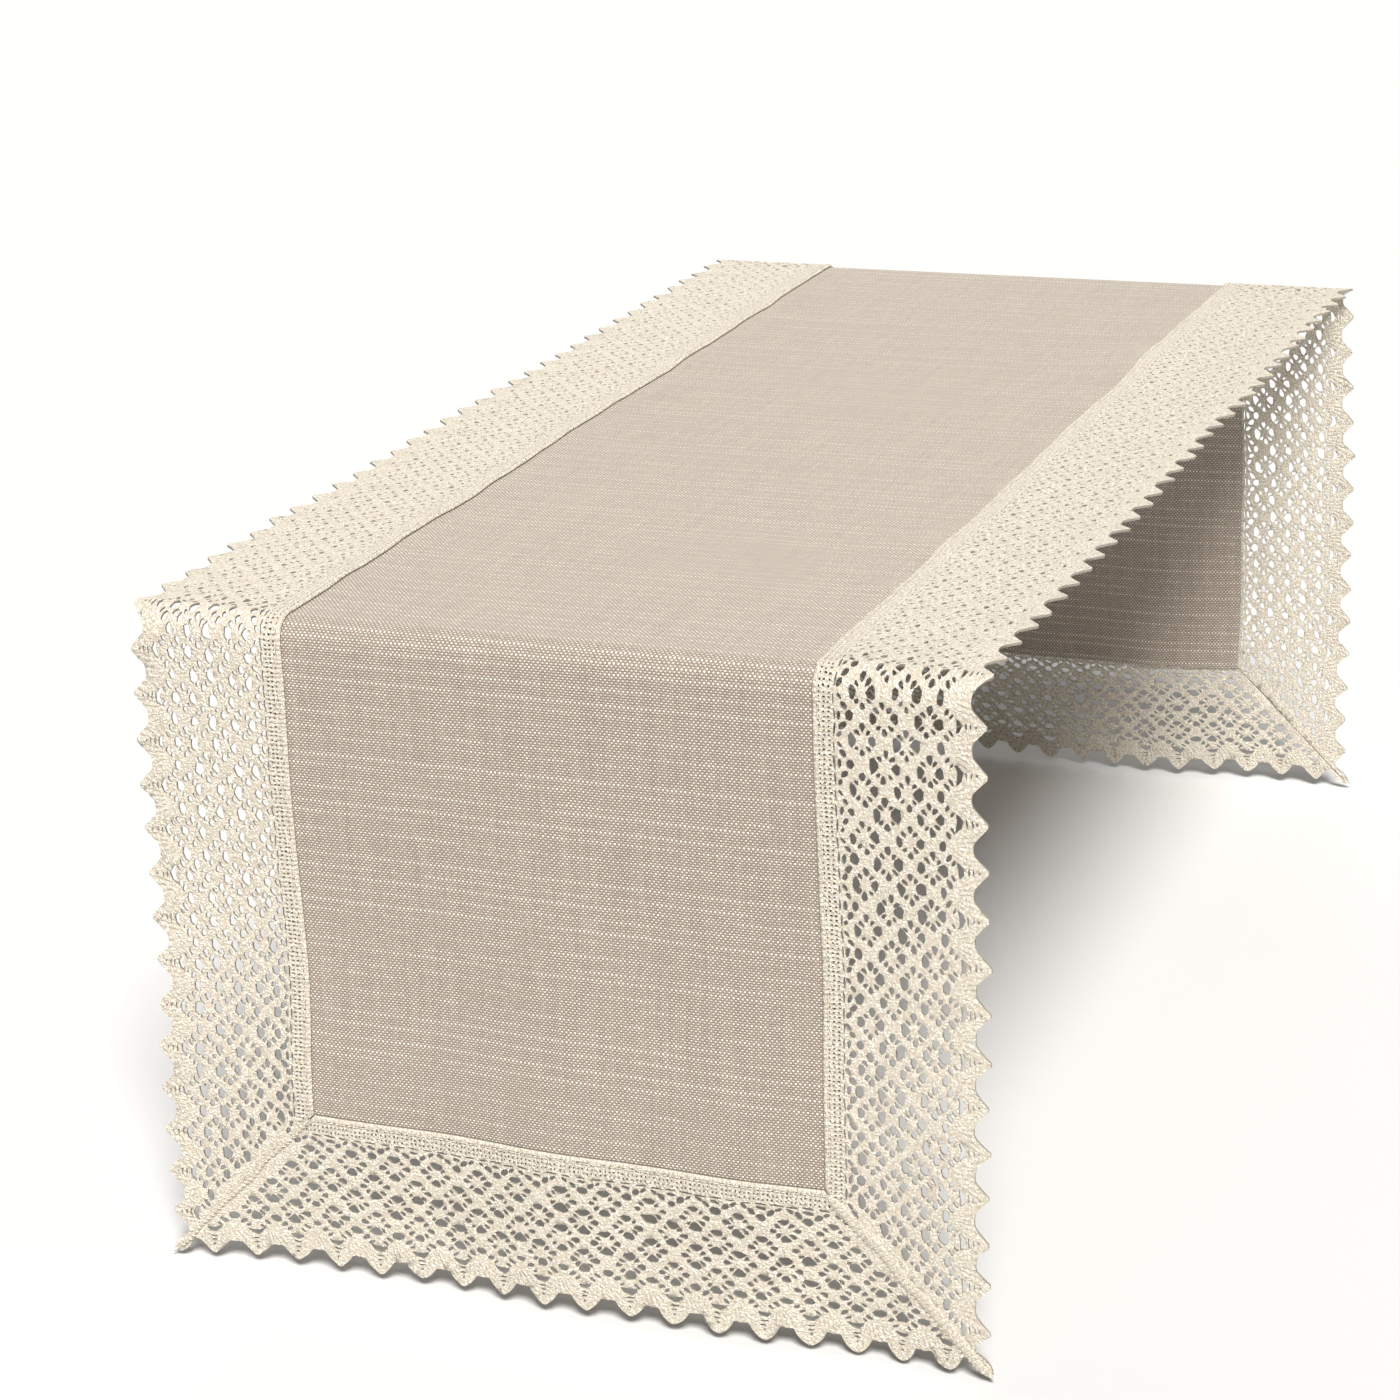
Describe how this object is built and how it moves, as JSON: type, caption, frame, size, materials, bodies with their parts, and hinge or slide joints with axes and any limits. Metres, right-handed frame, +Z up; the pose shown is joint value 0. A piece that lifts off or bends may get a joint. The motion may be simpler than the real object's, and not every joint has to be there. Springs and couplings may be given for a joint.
{
  "type": "table runner",
  "caption": "Table runner draped over a tabletop: slub-weave cloth panel with a wide mitred cotton lace border, scalloped edge and a drop at each end.",
  "frame": {"origin": "on the cloth's underside at the middle of the top, where the runner rests on the tabletop", "axes": "+X across the runner, +Y along the runner towards its far drop, +Z up"},
  "size_m": [0.399, 0.7492, 0.315],
  "materials": {
    "woven_cloth": "matt slub plain weave, cream weft on a taupe warp",
    "cotton_lace": "matt ecru cotton bobbin lace",
    "cotton_thread": "matt twisted cotton sewing thread"
  },
  "bodies": {
    "root": {"cloth_panel": "woven_cloth", "lace_left": "cotton_lace", "lace_right": "cotton_lace", "lace_near_end": "cotton_lace", "lace_far_end": "cotton_lace", "join_stitch_left": "cotton_thread", "join_stitch_right": "cotton_thread", "join_stitch_near": "cotton_thread", "join_stitch_far": "cotton_thread", "mitre_seam_near_left": "cotton_thread", "mitre_seam_near_right": "cotton_thread", "mitre_seam_far_left": "cotton_thread", "mitre_seam_far_right": "cotton_thread", "edge_overlock_left": "cotton_thread", "edge_overlock_right": "cotton_thread", "edge_overlock_near": "cotton_thread", "edge_overlock_far": "cotton_thread"}
  },
  "joints": []
}
